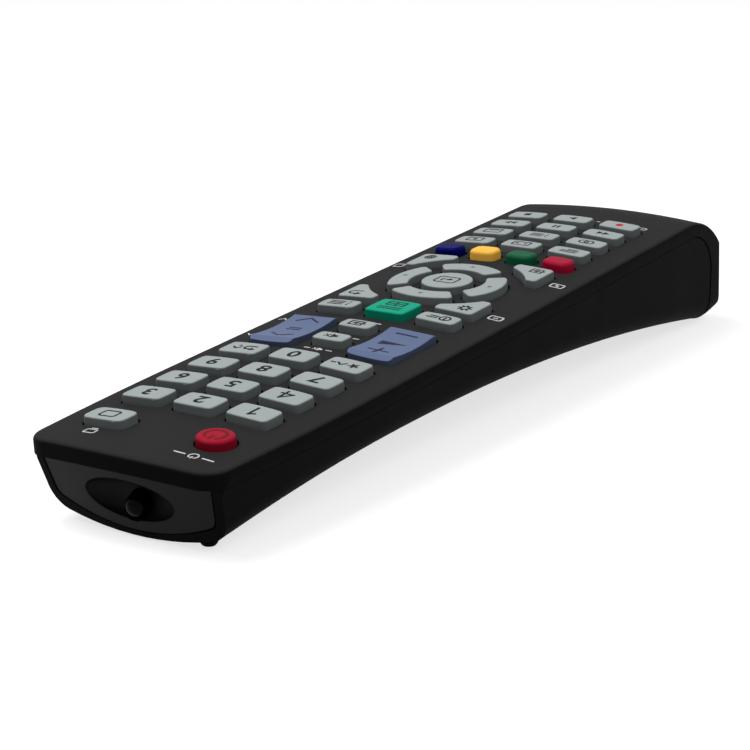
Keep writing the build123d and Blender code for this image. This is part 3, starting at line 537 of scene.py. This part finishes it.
# Prints on the keys, drawn with lines of a few widths
boldLine = 0.5
midLine = 0.45
fineLine = 0.42
thinLine = 0.38
keyPrints = {
    "key_favourite": star(-1.9, 0, 1.5)
    + chevron(1.1, 0.2, 1.0, 1.0, boldLine)
    + [bar(3.2, 0, 1.3, boldLine)],
    "key_previous_channel": returnArrow(-1.6, 0, 1.8, boldLine)
    + chevron(1.6, 0.6, 1.0, 0.9, boldLine)
    + [arrowHead(1.4, -0.9, 0.8, 270)],
    "key_tv": roundedBox(0, 0.1, 3.9, 2.9, 0.7, midLine),
    "key_mute": crossedSpeaker(0, 0, 2.1),
    "key_source": arrowIntoBox(0.3, 0, 3.2, 2.3, midLine),
    "key_info": infoMark(-1.7, 0, 1.25, fineLine)
    + [bar(1.5, 0.5, 2.8, boldLine), bar(1.2, -0.5, 2.2, boldLine)],
    "key_guide": listMark(0, 0, 5.0, 1.05, boldLine),
    "key_menu": [bar(0, 2.2, 6.2, boldLine), bar(0, 1.1, 6.2, boldLine)]
    + gridMark(0, -1.6, 4.6, 2.4, fineLine),
    "key_ok": roundedBox(0, 0, 5.4, 4.2, 0.9, fineLine)
    + stroke([(1.2, 0.9), (1.2, -0.3), (-0.6, -0.3)], fineLine)
    + [arrowHead(-0.8, -0.3, 1.3, 180)],
    "key_tools": gear(0, 0, 1.5, 0.4),
    "key_return": returnArrow(0, 0, 2.1, fineLine),
    "key_exit": arrowIntoBox(0, 0, 2.8, 2.4, thinLine),
    "key_web": globe(0, 0, 1.4, 0.3),
    "key_text": [bar(0, 0.95, 4.4, fineLine), bar(0, 0, 4.4, fineLine), bar(-0.7, -0.95, 3.0, fineLine)],
    "key_size": roundedBox(0, 0, 4.6, 2.6, 0.4, thinLine)
    + [arrowHead(1.2, 0, 0.9, 0), arrowHead(-1.2, 0, 0.9, 180)],
    "key_picture": roundedBox(0, 0, 4.2, 2.6, 0.4, thinLine) + [disc(0, 0, 0.62, 16)],
    "key_dual": arc(-0.75, 0, 1.15, 0, 360, 0.36) + arc(0.75, 0, 1.15, 0, 360, 0.36),
    "key_description": listMark(0, 0, 4.2, 0.9, 0.4),
    "key_subtitle": roundedBox(0, 0, 4.6, 2.8, 0.4, thinLine) + [bar(0, -0.6, 3.0, fineLine)],
    "key_rewind": [arrowHead(-0.8, 0, 1.7, 180), arrowHead(0.9, 0, 1.7, 180)],
    "key_pause": [bar(-0.6, 0, 0.6, 2.1), bar(0.6, 0, 0.6, 2.1)],
    "key_forward": [arrowHead(-0.9, 0, 1.7, 0), arrowHead(0.8, 0, 1.7, 0)],
    "key_play": [arrowHead(0, 0, 1.9, 0)],
    "key_stop": [bar(0, 0, 1.8, 1.8)],
    "key_power": powerMark(0, -0.1, 2.2, 0.6),
    "key_record": [disc(0, 0, 1.0)],
    "key_1": stroke([(-0.9, 1.05), (0.2, 1.7), (0.2, -1.85)], 0.6),
    "key_4": stroke([(0.6, -1.85), (0.6, 1.75), (-1.4, -0.7), (1.4, -0.7)], 0.55),
}
digitLook = {"height": 3.7, "stretch": 1.12, "boldness": 0.022}
for figure in "02356789":
    keyPrints[f"key_{figure}"] = digit(figure, digitLook)
for name, turn in (("key_up", 90), ("key_left", 180), ("key_down", 270), ("key_right", 0)):
    keyPrints[name] = [arrowHead(0, 0, 1.1, turn)]
arcKeys = ("key_up", "key_down", "key_left", "key_right")
inks = {"key_menu": "MenuInk", "key_power": "PowerInk", "key_record": "RecordInk"}
inks.update(dict.fromkeys(arcKeys, "ArcInk"))
for name, rings in keyPrints.items():
    buildPrint(f"{name}_print", rings, keyZ, keySpots[name], name, inks.get(name, "KeyInk"))

# The rockers' saddle, whose prints follow it
rocker = {"crest": 1.5, "dip": 0.6, "halfSaddle": 8.0}
saddleRadius = (rocker["halfSaddle"] ** 2 + rocker["dip"] ** 2) / (2 * rocker["dip"])


def saddleZ(x, y):
    # Height of a rocker's top, level across and dished along
    middle = math.copysign(rockerSpot[0], x)
    lean = middle / math.sqrt(crownRadius**2 - middle**2)
    reach = min(abs(y - rockerSpot[1]), rocker["halfSaddle"])
    sag = saddleRadius - math.sqrt(saddleRadius**2 - reach**2)
    return crownZ(middle, y) - (x - middle) * lean + rocker["crest"] - rocker["dip"] + sag


rockerPrints = {
    "key_volume": [
        bar(0, 5.3, 5.2, boldLine),
        bar(0, 5.3, boldLine, 4.2),
        bar(0, -5.9, 5.6, boldLine),
        [(-3.2, -0.9), (3.0, -0.9), (3.0, 1.3)],
    ],
    "key_channel": chevron(0, 5.3, 2.9, 1.9, midLine)
    + stroke([(-2.9, -4.9), (0, -6.8), (2.9, -4.9)], midLine)
    + [bar(0, 0.55, 3.4, fineLine), bar(0, -0.55, 3.4, fineLine)],
}
for name, rings in rockerPrints.items():
    spot = (math.copysign(rockerSpot[0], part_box(name)[0][0]), rockerSpot[1])
    buildPrint(f"{name}_print", rings, saddleZ, spot, name, "RockerInk", lift=0.05)

# White marks on the face shell
facePrints = (
    (powerMark(0, 0, 1.0, 0.32) + [bar(-3.4, 0, 2.8, 0.4), bar(3.4, 0, 2.8, 0.4)], (-14.7, 114.1)),
    (roundedBox(0, 0, 2.6, 1.8, 0.4, 0.32) + [bar(0, -1.5, 1.6, 0.3)], (12.2, 112.8)),
    (crossedSpeaker(0, 0, 1.5) + [bar(-2.8, 0, 1.6, 0.35), bar(2.9, 0, 1.6, 0.35)], (0.7, 51.6)),
    (arrowIntoBox(0, 0, 1.8, 1.4, 0.28) + [bar(-2.8, 0, 1.6, 0.35), bar(2.5, 0, 1.6, 0.35)], (0, 42.2)),
    ([bar(-1.2, 0, 1.6, 0.4), bar(1.2, 0, 1.6, 0.4)], (0, 31.0)),
    (chevron(0, 0, 1.0, 0.9, 0.32), (22.4, 47.0)),
    (stroke([(-1.0, 0.45), (0, -0.45), (1.0, 0.45)], 0.32), (22.4, 34.5)),
    (roundedBox(0, 0, 3.2, 2.3, 0.5, 0.34) + [bar(0, 0, 1.2, 0.35)], (-21.3, 13.7)),
    (roundedBox(0, 0, 3.2, 2.3, 0.5, 0.34) + [disc(0, 0, 0.45, 12)], (-21.4, -14.3)),
    (roundedBox(0, 0, 2.6, 2.3, 0.5, 0.34), (22.6, -14.0)),
    (roundedBox(0, 0, 2.4, 1.4, 0.3, 0.3), (-16.7, -66.9)),
    ([bar(-0.9, 0, 1.0, 0.35), bar(0.9, 0, 1.0, 0.35)], (-3.4, -66.9)),
)
for number, (rings, spot) in enumerate(facePrints):
    buildPrint(f"face_mark_{number + 1}", rings, crownZ, spot, "housing", "WhiteInk")
print("prints", len(keyPrints) + len(rockerPrints) + len(facePrints))

# Small repeated pieces inside, one at each carbon pill under the keys: comb contacts and mat collars
pill = {"ring": 11.6, "corner": (14.4, 15.6), "rocker": 6, "combLevel": -6.18, "collarLevel": -5.3}
cornerKeys = ("key_tools", "key_return", "key_exit", "key_web")
pillSpots = [spot for name, spot in keySpots.items() if name not in arcKeys + cornerKeys]
pillSpots += [(0, pill["ring"]), (0, -pill["ring"]), (pill["ring"], 0), (-pill["ring"], 0)]
for side in (-1, 1):
    for end in (-1, 1):
        pillSpots.append((side * pill["corner"][0], end * pill["corner"][1]))
        pillSpots.append((side * rockerSpot[0], rockerSpot[1] + end * pill["rocker"]))


def startTree(name, sizes):
    # A tree with one named input for each size, and the identifiers to set them by
    tree = bpy.data.node_groups.new(name, "GeometryNodeTree")
    addSocket = tree.interface.new_socket
    addSocket("Geometry", in_out="INPUT", socket_type="NodeSocketGeometry")
    addSocket("Geometry", in_out="OUTPUT", socket_type="NodeSocketGeometry")
    socketKeys = {}
    for label, value in sizes.items():
        kind = "NodeSocketInt" if isinstance(value, int) else "NodeSocketFloat"
        socketKeys[label] = addSocket(label, in_out="INPUT", socket_type=kind).identifier
    return tree, tree.nodes.new("NodeGroupInput"), socketKeys


def finishTree(tree, enter, unit, material):
    # One unit on every point, turned to lie in the key face
    make = tree.nodes.new
    link = tree.links.new
    spread = make("GeometryNodeInstanceOnPoints")
    spread.inputs["Rotation"].default_value = faceTurn.to_euler()
    link(enter.outputs["Geometry"], spread.inputs["Points"])
    link(unit, spread.inputs["Instance"])
    solid = make("GeometryNodeRealizeInstances")
    link(spread.outputs["Instances"], solid.inputs["Geometry"])
    finish = make("GeometryNodeSetMaterial")
    finish.inputs["Material"].default_value = material
    link(solid.outputs["Geometry"], finish.inputs["Geometry"])
    leave = make("NodeGroupOutput")
    link(finish.outputs["Geometry"], leave.inputs["Geometry"])


def vectorOf(tree, **parts):
    joined = tree.nodes.new("ShaderNodeCombineXYZ")
    for axis, source in parts.items():
        tree.links.new(source, joined.inputs[axis])
    return joined.outputs[0]


def combTree(sizes):
    # Row of fingers
    tree, enter, socketKeys = startTree("CombContacts", sizes)
    link = tree.links.new
    row = tree.nodes.new("GeometryNodeMeshLine")
    link(enter.outputs["Fingers"], row.inputs["Count"])
    link(vectorOf(tree, X=enter.outputs["Start"]), row.inputs["Start Location"])
    link(vectorOf(tree, X=enter.outputs["Pitch"]), row.inputs["Offset"])
    finger = tree.nodes.new("GeometryNodeMeshCube")
    size = vectorOf(tree, X=enter.outputs["Width"], Y=enter.outputs["Length"], Z=enter.outputs["Height"])
    link(size, finger.inputs["Size"])
    comb = tree.nodes.new("GeometryNodeInstanceOnPoints")
    link(row.outputs["Mesh"], comb.inputs["Points"])
    link(finger.outputs["Mesh"], comb.inputs["Instance"])
    finishTree(tree, enter, comb.outputs["Instances"], materials["contact"])
    return tree, socketKeys


def collarTree(sizes):
    # Low rim round a hole
    tree, enter, socketKeys = startTree("HoleCollars", sizes)
    link = tree.links.new
    ring = tree.nodes.new("GeometryNodeCurvePrimitiveCircle")
    ring.inputs["Resolution"].default_value = 32
    link(enter.outputs["Radius"], ring.inputs["Radius"])
    profile = tree.nodes.new("GeometryNodeCurvePrimitiveQuadrilateral")
    link(enter.outputs["Width"], profile.inputs["Width"])
    link(enter.outputs["Height"], profile.inputs["Height"])
    rim = tree.nodes.new("GeometryNodeCurveToMesh")
    link(ring.outputs["Curve"], rim.inputs["Curve"])
    link(profile.outputs["Curve"], rim.inputs["Profile Curve"])
    finishTree(tree, enter, rim.outputs["Mesh"], materials["mat"])
    return tree, socketKeys


def spreadPieces(name, buildTree, level, sizes):
    tree, socketKeys = buildTree(sizes)
    points = bpy.data.meshes.new(f"{name}_points")
    points.from_pydata([onFace(x, y, level) for x, y in pillSpots], [], [])
    carrier = bpy.data.objects.new(f"{name}_carrier", points)
    scene.collection.objects.link(carrier)
    modifier = carrier.modifiers.new("Spread", "NODES")
    modifier.node_group = tree
    for label, value in sizes.items():
        modifier[socketKeys[label]] = value
    bpy.context.view_layer.update()
    depsgraph = bpy.context.evaluated_depsgraph_get()
    mesh = bpy.data.meshes.new_from_object(carrier.evaluated_get(depsgraph))
    bpy.data.objects.remove(carrier)
    piece = bpy.data.objects.new(name, mesh)
    scene.collection.objects.link(piece)
    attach(piece, "housing")
    print(name, len(mesh.polygons), "faces")


spreadPieces(
    "comb_contacts",
    combTree,
    pill["combLevel"],
    {"Fingers": 5, "Start": -0.0012, "Pitch": 0.0006, "Width": 0.0003, "Length": 0.0026, "Height": 0.00008},
)
spreadPieces(
    "mat_collars",
    collarTree,
    pill["collarLevel"],
    {"Radius": 0.00235, "Width": 0.0004, "Height": 0.0003},
)

# Floor, light and camera
studio = {
    "floorSize": 6.0,
    "floorDrop": 0.0002,
    "floorSeen": 0.4,
    "floorGlow": 0.71,
    "floorBounce": 0.16,
    "skySeen": 0.9,
    "skyLight": 0.42,
    "lights": (
        ("keyLight", (0.35, 0.25, 1.0), 0.8, 9.0),
        ("fillLight", (-0.8, 0.2, 0.8), 0.7, 4.0),
    ),
    "sensor": 36,
    "lens": 101.168,
    "clipStart": 0.01,
    "cameraPlace": (-255.478, 400.188, 140.735),
    "cameraTurn": (1.242142, 0.046647, -2.551490),
}


def seenOrBounced(tree, seen, bounced):
    # A value for rays that are seen, mirrored or let through, and another for soft bounces
    path = tree.nodes.new("ShaderNodeLightPath")
    mirrored = mathOf(tree, "ADD", path.outputs["Is Camera Ray"], path.outputs["Is Glossy Ray"])
    straight = mathOf(tree, "ADD", mirrored, path.outputs["Is Transmission Ray"], clamp=True)
    mix = tree.nodes.new("ShaderNodeMix")
    setInputs(mix, A=bounced, B=seen)
    tree.links.new(straight, mix.inputs["Factor"])
    return mix.outputs["Result"]


floorMaterial = bpy.data.materials.new("StudioFloor")
floorMaterial.use_nodes = True
floorTree = floorMaterial.node_tree
floorLevel = seenOrBounced(floorTree, studio["floorSeen"], studio["floorBounce"])
floorShader = floorTree.nodes["Principled BSDF"]
setInputs(floorShader, Roughness=1.0, Specular_IOR_Level=0.0, Emission_Color=(1, 1, 1, 1))
floorTree.links.new(floorLevel, floorShader.inputs["Base Color"])
floorGlow = seenOrBounced(floorTree, studio["floorGlow"], 0.0)
floorTree.links.new(floorGlow, floorShader.inputs["Emission Strength"])
bpy.ops.mesh.primitive_plane_add(size=studio["floorSize"], location=(0, 0, -studio["floorDrop"]))
floor = bpy.context.object
floor.name = "studioFloor"
floor.data.materials.append(floorMaterial)

world = bpy.data.worlds.new("Studio")
scene.world = world
world.use_nodes = True
sky = world.node_tree.nodes["Background"]
setInputs(sky, Color=(1, 1, 1, 1))
skyLevel = seenOrBounced(world.node_tree, studio["skySeen"], studio["skyLight"])
world.node_tree.links.new(skyLevel, sky.inputs["Strength"])

for name, place, size, power in studio["lights"]:
    light = bpy.data.lights.new(name, "AREA")
    light.shape = "DISK"
    light.size = size
    light.energy = power
    holder = bpy.data.objects.new(name, light)
    scene.collection.objects.link(holder)
    holder.location = place
    holder.rotation_euler = (-Vector(place)).to_track_quat("-Z", "Y").to_euler()
print("studio", len(studio["lights"]), "lights")

cameraData = bpy.data.cameras.new("Camera")
cameraData.sensor_width = studio["sensor"]
cameraData.lens = studio["lens"]
cameraData.clip_start = studio["clipStart"]
camera = bpy.data.objects.new("Camera", cameraData)
scene.collection.objects.link(camera)
cameraPlace = Matrix.Translation(Vector(studio["cameraPlace"]) * mm)
camera.matrix_world = faceMatrix @ cameraPlace @ Euler(studio["cameraTurn"]).to_matrix().to_4x4()
scene.camera = camera
scene.view_settings.view_transform = "Standard"
